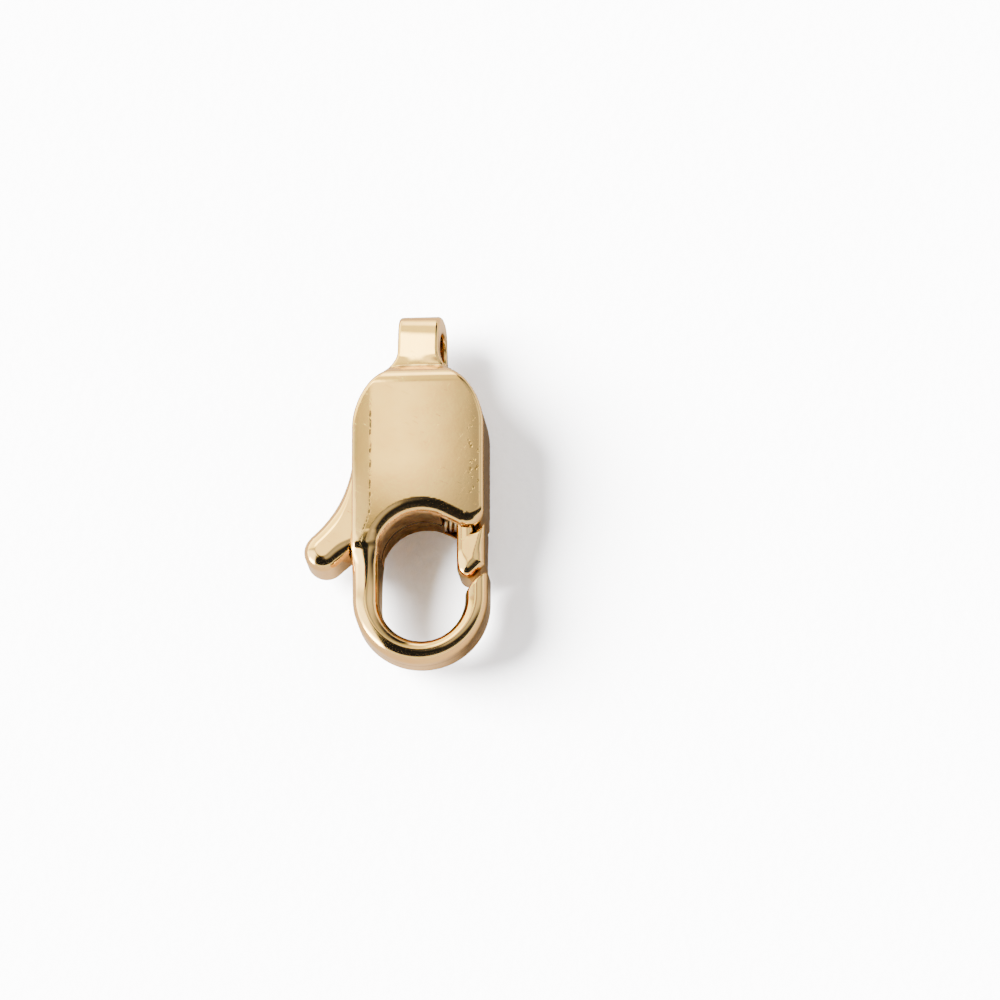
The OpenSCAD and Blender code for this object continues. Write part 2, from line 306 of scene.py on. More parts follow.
@dataclass(frozen=True)
class Housing:
    """Plates, rims, bail and hook in one folded piece."""

    opening: Opening = field(default_factory=Opening)
    lobe: Lobe = field(default_factory=Lobe)
    tip: TipCut = field(default_factory=TipCut)
    face_z: float = 1.5
    edge_r: float = 0.14
    lip_r: float = 0.5
    lip_reach: float = 0.9
    lip_ease: float = 0.5
    arch_offset: float = 0.3
    arch_y: float = -2.998
    arch_r: float = 2.5
    crease_y: float = -0.75
    crown_r: float = 0.75
    step_y: float = -7.02
    step_slope: float = 2.2
    step_ease: float = 0.12
    left_crease_x: float = -1.56
    left_ease: float = 0.02
    crease_bend: float = 0.34
    bend_y: float = -5.7
    bend_reach: float = 1.3
    right_crease_x: float = 1.92
    right_ease: float = 0.05
    margin_fall: float = 0.05
    bow: float = 0.014
    droop_y: float = -4.1
    hook_x: float = 0.035
    hook_y: float = -8.68
    hook_r: float = 2.26
    hook_z: float = 0.95
    hook_crown: float = 0.45
    hook_half_min: float = 0.2
    end_ease: float = 0.09
    arm_top: float = -6.6
    arm_slope: float = 0.32
    arm_drop: float = 0.03
    arm_low: float = -8.15
    arm_ease: float = 0.25
    arm_skew: float = 0.25
    skew_lead: float = 0.8
    skew_reach: float = 1.4
    arm_flat: float = 0.25
    flat_y: float = -7.75
    flat_reach: float = 0.75
    blend: float = 0.12
    hollow_z: float = 1.05
    hollow_r: float = 0.05
    rim: float = 0.35
    slot_low: float = -7.18
    slot_high: float = -3.05
    rim_end_x: float = 0.72
    crown_wall: float = 0.45
    eye_r: float = 0.6
    eye_ease: float = 0.08
    bail_r: float = 1.18
    bail_z: float = 1.0
    bail_x: float = -0.04
    bail_slope: float = 0.1
    taper_y: float = -0.4
    hoop_ease: float = 0.3
    bail_twist: float = 0.09
    twist_reach: float = 0.4
    strip_x: float = 0.7
    strip_r: float = 0.12
    strip_root: float = 0.3
    flare_r: float = 0.9
    flare_x: float = 1.6
    flare_reach: float = 1.12
    flare_y: float = -0.145
    step: float = 0.052
    fine_share: float = 0.8
    spans: tuple[Point, ...] = ((-2.27, 2.33), (-11.03, 1.16), (-1.56, 1.56))
    fine_stretches: tuple[tuple[Point, ...], ...] = (
        ((-2.3, -1.8), (1.8, 2.3)),
        ((-0.9, -0.6),),
        ((-1.56, -1.1), (1.05, 1.56)),
    )

    def arch(self, x: np.ndarray, y: np.ndarray, shrink: float = 0.0) -> np.ndarray:
        """Distances from the sides and shoulders of the body, seen from the front.

        Args:
            x: places of the points along X, in millimetres.
            y: places of the points along Y.
            shrink: how far inside the outline the distances are taken from.

        Returns:
            Distances, negative inside.
        """
        rise = np.maximum(y - self.arch_y, 0)
        reach = np.hypot(np.abs(x) + self.arch_offset, rise)
        return reach - self.arch_r + shrink

    def lip(self, x: np.ndarray, y: np.ndarray) -> np.ndarray:
        """Distances from the lower edge of the plates, which runs round the opening.

        Args:
            x: places of the points along X, in millimetres.
            y: places of the points along Y.

        Returns:
            Distances, negative on the plates.
        """
        hole, lobe = self.opening, self.lobe
        turn = math.radians(lobe.slope)
        along = (x - hole.x) * math.cos(turn) - (y - hole.arch_y) * math.sin(turn)
        square = (x - hole.x) * math.sin(turn) + (y - hole.arch_y) * math.cos(turn)
        round_part = np.hypot(x - hole.x, np.maximum(y - hole.arch_y, 0))
        return hole.radius - np.where(along < 0, round_part, square)

    def plate_outline(self, x: np.ndarray, y: np.ndarray) -> np.ndarray:
        """Distances from the outline of the plates, with the opening's arch cut out.

        Args:
            x: places of the points along X, in millimetres.
            y: places of the points along Y.

        Returns:
            Distances, negative inside.
        """
        lobe = self.lobe
        flat = np.maximum(self.arch(x, y), self.lip(x, y))
        return with_corner(flat, x, y, (lobe.x, lobe.y), lobe.radius, 270 - lobe.slope, 360)

    def face_height(self, x: np.ndarray, y: np.ndarray) -> np.ndarray:
        """Height of the plate's face, which bows a little and falls off beside its creases.

        Args:
            x: places of the points along X, in millimetres.
            y: places of the points along Y.

        Returns:
            Heights above the middle plane.
        """
        bend = self.crease_bend * eased((self.bend_y - y) / self.bend_reach)
        left = soft_ramp((self.left_crease_x - bend) - x, self.left_ease)
        right = soft_ramp(x - self.right_crease_x, self.right_ease)
        low = np.maximum(self.droop_y - y, 0)
        return self.face_z - self.margin_fall * (left + right) - self.bow * (x * x + low * low)

    def body(self, x: np.ndarray, y: np.ndarray, z: np.ndarray) -> np.ndarray:
        """Distances from the solid block of both plates.

        Args:
            x: places of the points along X, in millimetres.
            y: places of the points along Y.
            z: distances of the points from the middle plane.

        Returns:
            Distances, negative inside.
        """
        height = self.face_height(x, y)
        fall = (z - height + self.step_slope * (self.step_y - y)) / math.hypot(1, self.step_slope)
        face = soft_overlap(z - height, fall, self.step_ease)
        face = rounded(y - self.crease_y + 0 * x, face, self.crown_r)
        near_lip = eased((self.lip(x, y) + self.lip_reach) / self.lip_ease)
        radius = self.edge_r + (self.lip_r - self.edge_r) * near_lip
        return rounded(self.plate_outline(x, y), face, radius)

    def hook(self, x: np.ndarray, y: np.ndarray, z: np.ndarray) -> np.ndarray:
        """Distances from the arm, heel and tip of the hook.

        Args:
            x: places of the points along X, in millimetres.
            y: places of the points along Y.
            z: distances of the points from the middle plane.

        Returns:
            Distances, negative inside.
        """
        hole = self.opening
        outer = np.hypot(x - self.hook_x, np.minimum(y - self.hook_y, 0)) - self.hook_r
        inner = hole.radius - np.hypot(x - hole.x, np.minimum(y - hole.heel_y, 0))
        half = np.maximum(-(outer + inner) / 2, self.hook_half_min)
        across = (outer - inner) / 2 / half
        rise = soft_ramp(y - self.arm_low, self.arm_ease) * (x < 0)
        crest = self.hook_z + self.arm_slope * rise
        crest = soft_union(crest, self.face_height(x, y) - self.arm_drop, self.blend)
        skew = self.arm_skew * eased((y - self.arm_low + self.skew_lead) / self.skew_reach) * (x < 0)
        across = across + skew * (1 - np.minimum(across * across, 1))
        flat = self.arm_flat * eased((y - self.flat_y) / self.flat_reach) * (x < 0)
        crown = self.hook_crown - flat
        above = np.maximum(z - crest + crown, 0) / crown
        ring = (np.hypot(across, above) - 1) * half
        end = np.where(x > 0, self.tip.beyond(x, y), y - self.arm_top)
        return soft_overlap(ring, end, self.end_ease)

    def hollow(self, x: np.ndarray, y: np.ndarray, z: np.ndarray) -> np.ndarray:
        """Distances from the space between the plates and its two ways out.

        Args:
            x: places of the points along X, in millimetres.
            y: places of the points along Y.
            z: distances of the points from the middle plane.

        Returns:
            Distances, negative in the hollow.
        """
        hole = self.opening
        top = y - (self.crease_y - self.crown_wall)
        shell = np.maximum(self.arch(x, y, self.rim), top)
        slot = np.maximum(x, np.maximum(y - self.slot_high, self.slot_low - y))
        room = np.minimum(shell, slot)
        rim = np.minimum(hole.radius + self.rim - hole.from_arch(x, y), self.rim_end_x - x)
        floor = np.where(x < 0, self.slot_low - y, hole.arch_y - y)
        flat = np.maximum(np.maximum(room, rim), floor)
        return rounded(flat, z - self.hollow_z, self.hollow_r)

    def bail(self, x: np.ndarray, y: np.ndarray, z: np.ndarray) -> np.ndarray:
        """Distances from the folded strip with its eye.

        Args:
            x: places of the points along X, in millimetres.
            y: places of the points along Y.
            z: places of the points along Z.

        Returns:
            Distances, negative inside.
        """
        twist = self.bail_twist * eased((y - self.crease_y) / self.twist_reach)
        twisted = np.abs(z - twist * x)
        hoop = np.hypot(np.maximum(y, 0), z) - self.bail_r
        taper = self.bail_slope * (y - self.taper_y)
        side = soft_overlap(hoop, twisted - self.bail_z + taper, self.hoop_ease)
        across = np.abs(x + twist * (z - self.bail_z) - self.bail_x)
        flare = self.flare_r - np.hypot(across - self.flare_x, y - self.flare_y)
        front = np.where(y < self.flare_y, flare, across - self.strip_x)
        front = np.maximum(front, across - self.flare_reach)
        strip = rounded(front, side, self.strip_r)
        strip = np.maximum(strip, self.crease_y - self.strip_root - y)
        eye = self.eye_r - np.hypot(y, z)
        return soft_overlap(strip, eye, self.eye_ease)

    def distance(self, x: np.ndarray, y: np.ndarray, z: np.ndarray) -> np.ndarray:
        """Distances from the whole housing.

        Args:
            x: places of the points along X, in millimetres.
            y: places of the points along Y.
            z: places of the points along Z.

        Returns:
            Distances, negative inside.
        """
        depth = np.abs(z)
        metal = soft_union(self.body(x, y, depth), self.hook(x, y, depth), self.blend)
        metal = np.maximum(metal, -self.hollow(x, y, depth))
        return soft_union(metal, self.bail(x, y, z), self.blend)

    def build(self) -> bpy.types.Object:
        """Makes the housing's mesh.

        Returns:
            The housing's object.
        """
        finer = self.step * self.fine_share
        lines = tuple(
            grid_lines(*span, self.step, tuple((*stretch, finer) for stretch in fine))
            for span, fine in zip(self.spans, self.fine_stretches)
        )
        return Net(self.distance, lines).build("housing_shell")


@dataclass(frozen=True)
class Lever:
    """Thumb tab, arm, boss and gate in one piece."""

    opening: Opening = field(default_factory=Opening)
    lobe: Lobe = field(default_factory=Lobe)
    tip: TipCut = field(default_factory=TipCut)
    half_t: float = 0.95
    edge_r: float = 0.2
    tab_edge_r: float = 0.45
    tab_root_x: float = -1.9
    tab_ease: float = 0.9
    end_edge_r: float = 0.42
    end_reach: float = 0.9
    end_ease: float = 0.55
    pivot: Point = (1.19, -4.947)
    hub_r: float = 0.62
    bore_r: float = 0.39
    side_x: float = 2.2
    gate_x: float = 1.27
    gate_r: float = 0.34
    arm_r: float = 1.88
    lobe_gap: float = 0.1
    tab: Point = (-3.2, -7.05)
    tab_r: float = 0.65
    tab_slope: float = 43.0
    thumb: Point = (-6.253, -3.43)
    thumb_r: float = 4.07
    shoulder: Point = (-1.906, -4.197)
    shoulder_r: float = 0.3
    spring_y: float = -5.967
    pocket_r: float = 0.32
    pocket_x: float = 1.52
    pocket_past: float = 0.5
    blend: float = 0.04
    step: float = 0.036
    spans: tuple[Point, ...] = ((-3.87, 2.27), (-8.35, -3.8), (-0.99, 0.99))

    def arm_outline(self, x: np.ndarray, y: np.ndarray) -> np.ndarray:
        """Distances from the tab, arm and boss, seen from the front.

        Args:
            x: places of the points along X, in millimetres.
            y: places of the points along Y.

        Returns:
            Distances, negative inside.
        """
        below = self.arm_r - self.opening.from_arch(x, y)
        turn = math.radians(self.tab_slope)
        under = (x - self.tab[0]) * math.sin(turn) - (y - self.tab[1]) * math.cos(turn) - self.tab_r
        thumb = self.thumb_r - np.hypot(x - self.thumb[0], y - self.thumb[1])
        reach = math.dist(self.shoulder, self.pivot)
        lean = math.degrees(math.acos((self.hub_r - self.shoulder_r) / reach))
        top_turn = heading(self.pivot, self.shoulder) - lean
        top_x, top_y = math.cos(math.radians(top_turn)), math.sin(math.radians(top_turn))
        top = (x - self.pivot[0]) * top_x + (y - self.pivot[1]) * top_y - self.hub_r
        flat = np.maximum(np.maximum(below, under), np.maximum(thumb, top))
        flat = np.maximum(flat, x - self.pivot[0] - self.hub_r)
        flat = with_corner(flat, x, y, self.tab, self.tab_r,
                           heading(self.tab, self.thumb), 270 + self.tab_slope)
        to_thumb = heading(self.shoulder, self.thumb) % 360
        flat = with_corner(flat, x, y, self.shoulder, self.shoulder_r, top_turn, to_thumb)
        return with_corner(flat, x, y, self.pivot, self.hub_r, 0, top_turn)

    def gate_outline(self, x: np.ndarray, y: np.ndarray) -> np.ndarray:
        """Distances from the gate, seen from the front.

        Args:
            x: places of the points along X, in millimetres.
            y: places of the points along Y.

        Returns:
            Distances, negative inside.
        """
        root_x = self.pivot[0] + self.hub_r
        clear = self.lobe.radius + self.lobe_gap - np.hypot(x - self.lobe.x, y - self.lobe.y)
        bared = np.maximum(np.maximum(x - self.side_x, clear), y - self.lobe.y)
        right = np.minimum(x - root_x, bared)
        end = -self.tip.beyond(x, y, self.tip.gap)
        flat = np.maximum(np.maximum(self.gate_x - x, right), np.maximum(end, y - self.pivot[1]))
        turn = math.radians(self.tip.slope)
        corner_x = self.gate_x + self.gate_r
        rise = self.gate_r + self.tip.gap + (corner_x - self.tip.x) * math.sin(turn)
        corner = (corner_x, self.tip.y + rise / math.cos(turn))
        return with_corner(flat, x, y, corner, self.gate_r, 180, 270 + self.tip.slope)

    def from_end(self, x: np.ndarray, y: np.ndarray) -> np.ndarray:
        """Distances up the gate from its slanted end, or large ones away from the gate."""
        return np.where(x > 0, self.tip.beyond(x, y, self.tip.gap), self.end_reach + 1)

    def distance(self, x: np.ndarray, y: np.ndarray, z: np.ndarray) -> np.ndarray:
        """Distances from the whole lever.

        Args:
            x: places of the points along X, in millimetres.
            y: places of the points along Y.
            z: places of the points along Z.

        Returns:
            Distances, negative inside.
        """
        flat = soft_union(self.arm_outline(x, y), self.gate_outline(x, y), self.blend)
        on_tab = eased((self.tab_root_x - x) / self.tab_ease)
        on_end = eased((self.end_reach - self.from_end(x, y)) / self.end_ease)
        radius = (self.edge_r + (self.tab_edge_r - self.edge_r) * on_tab
                  + (self.end_edge_r - self.edge_r) * on_end)
        z = np.abs(z)
        solid = rounded(flat, z - self.half_t, radius)
        bore = self.bore_r - np.hypot(x - self.pivot[0], y - self.pivot[1])
        pocket = np.maximum(np.hypot(y - self.spring_y, z) - self.pocket_r, x - self.pocket_x)
        pocket = np.maximum(pocket, self.gate_x - self.pocket_past - x)
        bored = soft_overlap(solid, bore + 0 * z, self.blend)
        return soft_overlap(bored, -pocket, self.blend)

    def build(self) -> bpy.types.Object:
        """Makes the lever's mesh.

        Returns:
            The lever's object.
        """
        lines = tuple(grid_lines(*span, self.step) for span in self.spans)
        return Net(self.distance, lines).build("lever_shell")


@dataclass(frozen=True)
class Spring:
    """Small coil between the end of the rim and the pocket in the gate."""

    start_x: float = 0.79
    end_x: float = 1.45
    y: float = -5.967
    coil_r: float = 0.25
    wire_r: float = 0.05
    turns: float = 4.0
    steps_per_turn: int = 48
    wire_sides: int = 20
    anchor_x: float = 0.72
    keep: float = 0.5

    def tree(self, material: bpy.types.Material) -> bpy.types.NodeTree:
        """Makes the node tree that winds the coil.

        Args:
            material: finish of the wire.

        Returns:
            The tree, with its sizes as named inputs.
        """
        tree = bpy.data.node_groups.new("wound coil", "GeometryNodeTree")
        sides = tree.interface
        for name in ("Turns", "Coil Radius", "Wire Radius", "Length"):
            sides.new_socket(name, in_out="INPUT", socket_type="NodeSocketFloat")
        sides.new_socket("Place", in_out="INPUT", socket_type="NodeSocketVector")
        sides.new_socket("Geometry", in_out="OUTPUT", socket_type="NodeSocketGeometry")
        nodes, links = tree.nodes, tree.links
        sizes = nodes.new("NodeGroupInput").outputs
        helix = nodes.new("GeometryNodeCurveSpiral")
        helix.inputs["Resolution"].default_value = self.steps_per_turn
        wire = nodes.new("GeometryNodeCurvePrimitiveCircle")
        wire.inputs["Resolution"].default_value = self.wire_sides
        sweep = nodes.new("GeometryNodeCurveToMesh")
        sweep.inputs["Fill Caps"].default_value = True
        place = nodes.new("GeometryNodeTransform")
        place.inputs["Rotation"].default_value = (0, math.pi / 2, 0)
        smooth = nodes.new("GeometryNodeSetShadeSmooth")
        real = nodes.new("GeometryNodeRealizeInstances")
        dress = nodes.new("GeometryNodeSetMaterial")
        dress.inputs["Material"].default_value = material
        links.new(sizes["Turns"], helix.inputs["Rotations"])
        links.new(sizes["Coil Radius"], helix.inputs["Start Radius"])
        links.new(sizes["Coil Radius"], helix.inputs["End Radius"])
        links.new(sizes["Length"], helix.inputs["Height"])
        links.new(sizes["Wire Radius"], wire.inputs["Radius"])
        links.new(helix.outputs[0], sweep.inputs["Curve"])
        links.new(wire.outputs[0], sweep.inputs["Profile Curve"])
        links.new(sweep.outputs[0], place.inputs["Geometry"])
        links.new(sizes["Place"], place.inputs["Translation"])
        links.new(place.outputs[0], smooth.inputs["Geometry"])
        links.new(smooth.outputs[0], real.inputs[0])
        links.new(real.outputs[0], dress.inputs["Geometry"])
        links.new(dress.outputs[0], nodes.new("NodeGroupOutput").inputs[0])
        return tree

    def build(self, material: bpy.types.Material) -> bpy.types.Object:
        """Winds the coil and makes it a plain mesh.

        Args:
            material: finish of the wire.

        Returns:
            The coil's object.
        """
        tree = self.tree(material)
        blank = bpy.data.objects.new("coil_blank", bpy.data.meshes.new("coil_blank"))
        bpy.context.scene.collection.objects.link(blank)
        winding = blank.modifiers.new("winding", "NODES")
        winding.node_group = tree
        sizes = {
            "Turns": self.turns,
            "Coil Radius": self.coil_r * MM,
            "Wire Radius": self.wire_r * MM,
            "Length": (self.end_x - self.start_x) * MM,
            "Place": (self.start_x * MM, self.y * MM, 0.0),
        }
        for socket in tree.interface.items_tree:
            if socket.name in sizes:
                winding[socket.identifier] = sizes[socket.name]
        wound = blank.evaluated_get(bpy.context.evaluated_depsgraph_get())
        coil = bpy.data.objects.new("coil_spring", bpy.data.meshes.new_from_object(wound))
        bpy.context.scene.collection.objects.link(coil)
        bpy.data.objects.remove(blank)
        LOG.info("coil_spring: %d faces", len(coil.data.polygons))
        return coil


class Nodes:
    """Short ways to add shader nodes to a tree."""

    def __init__(self, tree: bpy.types.NodeTree) -> None:
        """Keeps the tree."""
        self.tree = tree

    def add(self, kind: str, **settings: object) -> bpy.types.Node:
        """Adds a node and sets its properties.

        Args:
            kind: type of the node.
            settings: its properties, by name.

        Returns:
            The node.
        """
        node = self.tree.nodes.new(kind)
        for name, value in settings.items():
            setattr(node, name, value)
        return node

    def feed(self, socket: bpy.types.NodeSocket, value: object) -> None:
        """Links or sets an input.

        Args:
            socket: the input.
            value: socket that is linked to it, value that it is set to, or None to leave it.
        """
        if isinstance(value, bpy.types.NodeSocket):
            self.tree.links.new(value, socket)
        elif value is not None:
            socket.default_value = value

    def math(self, operation: str, *values: object) -> bpy.types.NodeSocket:
        """Adds a sum of one to three numbers.

        Args:
            operation: name of the sum.
            values: numbers or sockets that go into it.

        Returns:
            The result's socket.
        """
        node = self.add("ShaderNodeMath", operation=operation)
        for socket, value in zip(node.inputs, values):
            self.feed(socket, value)
        return node.outputs[0]

    def vector(self, operation: str, *values: object, scale: object = None) -> bpy.types.NodeSocket:
        """Adds a sum with vectors, whose result may be a number.

        Args:
            operation: name of the sum.
            values: vectors or sockets that go into it.
            scale: number or socket that the vector is scaled by.

        Returns:
            The result's socket.
        """
        node = self.add("ShaderNodeVectorMath", operation=operation)
        for socket, value in zip(node.inputs, values):
            self.feed(socket, value)
        if scale is not None:
            self.feed(node.inputs["Scale"], scale)
        number = operation in ("DOT_PRODUCT", "LENGTH", "DISTANCE")
        return node.outputs["Value" if number else "Vector"]

    def product(self, *values: object) -> bpy.types.NodeSocket:
        """Multiplies two or more numbers.

        Args:
            values: numbers or sockets, of which at least one is a socket.

        Returns:
            The product's socket.
        """
        total = values[0]
        for value in values[1:]:
            total = self.math("MULTIPLY", total, value)
        return total

    def parts(self, vector: object) -> tuple[bpy.types.NodeSocket, ...]:
        """Takes a vector apart into X, Y and Z."""
        node = self.add("ShaderNodeSeparateXYZ")
        self.feed(node.inputs[0], vector)
        return tuple(node.outputs)

    def flat_distance(self, place: object, centre: Point) -> bpy.types.NodeSocket:
        """Adds the distance from an upright line through a point of the X-Y plane."""
        return self.vector("DISTANCE", self.vector("MULTIPLY", place, (1, 1, 0)), (*centre, 0))

    def line(self, value: object, middle: float, width: Point, wander: object,
             sway: float) -> bpy.types.NodeSocket:
        """Adds a mask of a thin wandering line.

        Args:
            value: number that the line follows.
            middle: value on the line itself.
            width: how far off the line the mask starts, and how far off it is full.
            wander: noise that moves the line.
            sway: how far it moves it.

        Returns:
            The line's mask.
        """
        off = self.math("MULTIPLY_ADD", wander, sway, self.math("SUBTRACT", value, middle))
        return self.ramp(self.math("ABSOLUTE", off), *width)

    def place(self) -> bpy.types.NodeSocket:
        """Adds the place on the object in millimetres."""
        found = self.add("ShaderNodeTexCoord").outputs["Object"]
        return self.vector("MULTIPLY", found, (1 / MM,) * 3)

    def ramp(self, value: object, low: float, high: float,
             to: tuple[float, float] = (0.0, 1.0)) -> bpy.types.NodeSocket:
        """Adds a smooth step between two values.

        Args:
            value: number or socket that is looked at.
            low: value where the step starts.
            high: value where it ends, or a lower one for a step down.
            to: results at the start and at the end.

        Returns:
            The result's socket.
        """
        node = self.add("ShaderNodeMapRange", interpolation_type="SMOOTHSTEP")
        for socket, number in zip(node.inputs, (value, low, high, *to)):
            self.feed(socket, number)
        return node.outputs[0]

    def noise(self, place: object, scale: float, detail: float = 2.0,
              distortion: float = 0.0) -> bpy.types.NodeSocket:
        """Adds a noise pattern.

        Args:
            place: socket of the place.
            scale: repeats in each millimetre.
            detail: number of finer layers.
            distortion: how far the pattern is pushed about.

        Returns:
            The pattern's socket, from 0 to 1.
        """
        node = self.add("ShaderNodeTexNoise")
        self.feed(node.inputs["Vector"], place)
        node.inputs["Scale"].default_value = scale
        node.inputs["Detail"].default_value = detail
        node.inputs["Distortion"].default_value = distortion
        return node.outputs["Fac"]

    def mix(self, share: object, a: object, b: object) -> bpy.types.NodeSocket:
        """Mixes two colours.

        Args:
            share: number or socket for how much of the second colour there is.
            a: first colour or its socket.
            b: second colour or its socket.

        Returns:
            The mixed colour's socket.
        """
        node = self.add("ShaderNodeMix", data_type="RGBA")
        self.feed(node.inputs["Factor"], share)
        for socket, value in zip([s for s in node.inputs if s.type == "RGBA"], (a, b)):
            self.feed(socket, value)
        return next(s for s in node.outputs if s.type == "RGBA")


@dataclass(frozen=True)
class Softbox:
    """Soft bright panel of the studio, placed by its angle from straight overhead.

    Angles are in degrees, toward +X and toward +Y.
    """

    centre: Point
    half: Point
    turn: float
    ease: Point
    strength: float
    tint: tuple[float, float, float]

    def share(self, made: "Nodes", place: bpy.types.NodeSocket) -> bpy.types.NodeSocket:
        """Adds the nodes that say how much of the panel is seen in a direction.

        Args:
            made: nodes of the world.
            place: direction as two angles from straight overhead.

        Returns:
            A number from 0 outside the panel to 1 inside it.
        """
        turn = math.radians(self.turn)
        axes = ((math.cos(turn), math.sin(turn), 0), (-math.sin(turn), math.cos(turn), 0))
        from_centre = made.vector("SUBTRACT", place, (*self.centre, 0))
        sides = []
        for axis, half, ease in zip(axes, self.half, self.ease):
            off = made.math("ABSOLUTE", made.vector("DOT_PRODUCT", from_centre, axis))
            sides.append(made.ramp(off, half - ease, half + ease, (1.0, 0.0)))
        return made.math("MULTIPLY", *sides)


@dataclass(frozen=True)
class Flag:
    """Dark cards on the camera's side, bounded by two straight edges."""

    directions: Point = (-30.6, -148.4)
    offsets: Point = (-21.3, 18.0)
    eases: Point = (5.0, 4.0)

    def share(self, made: "Nodes", place: bpy.types.NodeSocket) -> bpy.types.NodeSocket:
        """Adds the nodes that say how much of the cards is seen in a direction.

        Args:
            made: nodes of the world.
            place: direction as two angles from straight overhead.

        Returns:
            A number from 0 outside the cards to 1 inside them.
        """
        sides = []
        for direction, offset, ease in zip(self.directions, self.offsets, self.eases):
            turn = math.radians(direction)
            past = made.vector("DOT_PRODUCT", place, (math.cos(turn), math.sin(turn), 0))
            sides.append(made.ramp(past, offset - ease, offset + ease))
        return made.math("MULTIPLY", *sides)


@dataclass(frozen=True)
class Studio:
    """Pale floor, soft light and the camera."""

    floor_z: float
    floor_size: float = 400.0
    aim: tuple[float, float, float] = (2.645, -5.218, 0.0)
    toward_camera: tuple[float, float, float] = (0.083, -0.28, 0.957)
    distance: float = 300.0
    view_width: float = 33.333
    dim: tuple[float, float, float] = (0.017, 0.019, 0.03)
    fill: tuple[float, float] = (0.15, 9.0)
    fill_from: tuple[float, float] = (48.0, 72.0)
    fill_tint: tuple[float, float, float] = (1.0, 0.985, 1.0)
    horizon: float = 1.7
    horizon_from: tuple[float, float] = (72.0, 79.0)
    horizon_tint: tuple[float, float, float] = (1.0, 0.94, 0.66)
    key_toward: tuple[float, float] = (168.0, 36.0)
    key_power: float = 60.0
    key_width: float = 44.0
    backdrop: float = 9.0
    paper: tuple[float, float, float, float] = (0.93, 0.925, 0.925, 1.0)
    # Paper as the metal mirrors it: painted shade, tinted warm.
    reflected_paper_shade: tuple[float, float, float, float] = (0.12, 0.096, 0.07, 1.0)
    paper_roughness: float = 0.9
    paper_sheen: float = 0.1
    paper_bump: float = 0.35
    paper_relief: float = 0.05
    paper_grain: tuple[float, float] = (2.8, 5.0)
    sensor: float = 36.0
    clip: tuple[float, float] = (0.01, 2.0)
    flag: Flag = field(default_factory=Flag)
    boxes: tuple[Softbox, ...] = (
        Softbox((-61.7, -18.1), (39.5, 37.4), -8.7, (4.4, 7.0), 4.75, (1.0, 0.95, 0.64)),
        Softbox((-69.6, -46.6), (13.8, 28.1), 44.4, (14.7, 2.0), 25.4, (1.0, 0.92, 0.81)),
        Softbox((-47.5, 60.9), (31.1, 37.1), -7.5, (16.6, 3.7), 4.45, (1.0, 0.90, 0.38)),
        Softbox((-6.0, 42.0), (9.0, 16.0), 0.0, (6.0, 14.0), 1.8, (1.0, 0.90, 0.42)),
        Softbox((-18.0, 29.0), (8.0, 6.5), 0.0, (3.0, 3.0), 9.0, (1.0, 0.94, 0.50)),
        Softbox((-8.9, 16.5), (6.3, 4.0), 0.0, (4.5, 8.0), 3.7, (1.0, 0.89, 0.45)),
        Softbox((-4.0, 67.0), (9.0, 9.0), 0.0, (4.0, 6.0), 6.0, (1.0, 0.92, 0.60)),
        Softbox((46.9, 20.3), (53.7, 24.8), 22.1, (2.0, 12.0), 0.66, (1.0, 0.94, 0.70)),
        Softbox((34.0, 16.0), (20.0, 14.0), 10.0, (8.0, 10.0), 0.85, (1.0, 0.93, 0.55)),
        Softbox((46.8, -5.0), (52.8, 8.0), 9.8, (3.7, 8.0), 0.12, (1.0, 0.97, 1.0)),
    )

    def light(self) -> None:
        """Makes the world, whose softboxes the metal mirrors and which light the floor."""
        world = bpy.data.worlds.new("studio")
        bpy.context.scene.world = world
        world.use_nodes = True
        made = Nodes(world.node_tree)
        world.node_tree.nodes.clear()
        direction = made.add("ShaderNodeTexCoord").outputs["Generated"]
        flat = made.vector("MULTIPLY", direction, (1, 1, 0))
        height = made.vector("DOT_PRODUCT", direction, (0, 0, 1))
        angle = made.math("MULTIPLY", made.math("ARCCOSINE", height), math.degrees(1))
        stretch = made.math("DIVIDE", angle, made.math("MAXIMUM", made.vector("LENGTH", flat), 1e-5))
        place = made.vector("SCALE", flat, scale=stretch)
        total = None
        for box in self.boxes:
            colour = tuple(c * box.strength for c in box.tint)
            patch = made.vector("SCALE", colour, scale=box.share(made, place))
            total = patch if total is None else made.vector("ADD", total, patch)
        clear = made.math("SUBTRACT", 1.0, self.flag.share(made, place))
        total = made.vector("ADD", made.vector("SCALE", total, scale=clear), self.dim)
        low = made.ramp(angle, *self.horizon_from, (0.0, self.horizon))
        total = made.vector("ADD", total, made.vector("SCALE", self.horizon_tint, scale=low))
        level = made.ramp(angle, *self.fill_from, self.fill)
        path = made.add("ShaderNodeLightPath")
        soft = made.vector("SCALE", self.fill_tint, scale=level)
        seen = made.mix(path.outputs["Is Camera Ray"], soft, (self.backdrop,) * 3 + (1,))
        total = made.mix(path.outputs["Is Glossy Ray"], seen, total)
        glow = made.add("ShaderNodeBackground")
        made.feed(glow.inputs["Color"], total)
        out = made.add("ShaderNodeOutputWorld")
        made.feed(out.inputs["Surface"], glow.outputs[0])

    def key(self) -> None:
        """Adds the light from the left that casts the shadows on the paper."""
        data = bpy.data.lights.new("key", "SUN")
        data.energy = self.key_power
        data.angle = math.radians(self.key_width)
        key = bpy.data.objects.new("key", data)
        turn, rise = (math.radians(v) for v in self.key_toward)
        toward = Vector((math.cos(turn) * math.cos(rise), math.sin(turn) * math.cos(rise),
                         math.sin(rise)))
        key.matrix_world = toward.to_track_quat("Z", "Y").to_matrix().to_4x4()
        key.visible_glossy = False
        key.visible_camera = False
        bpy.context.scene.collection.objects.link(key)

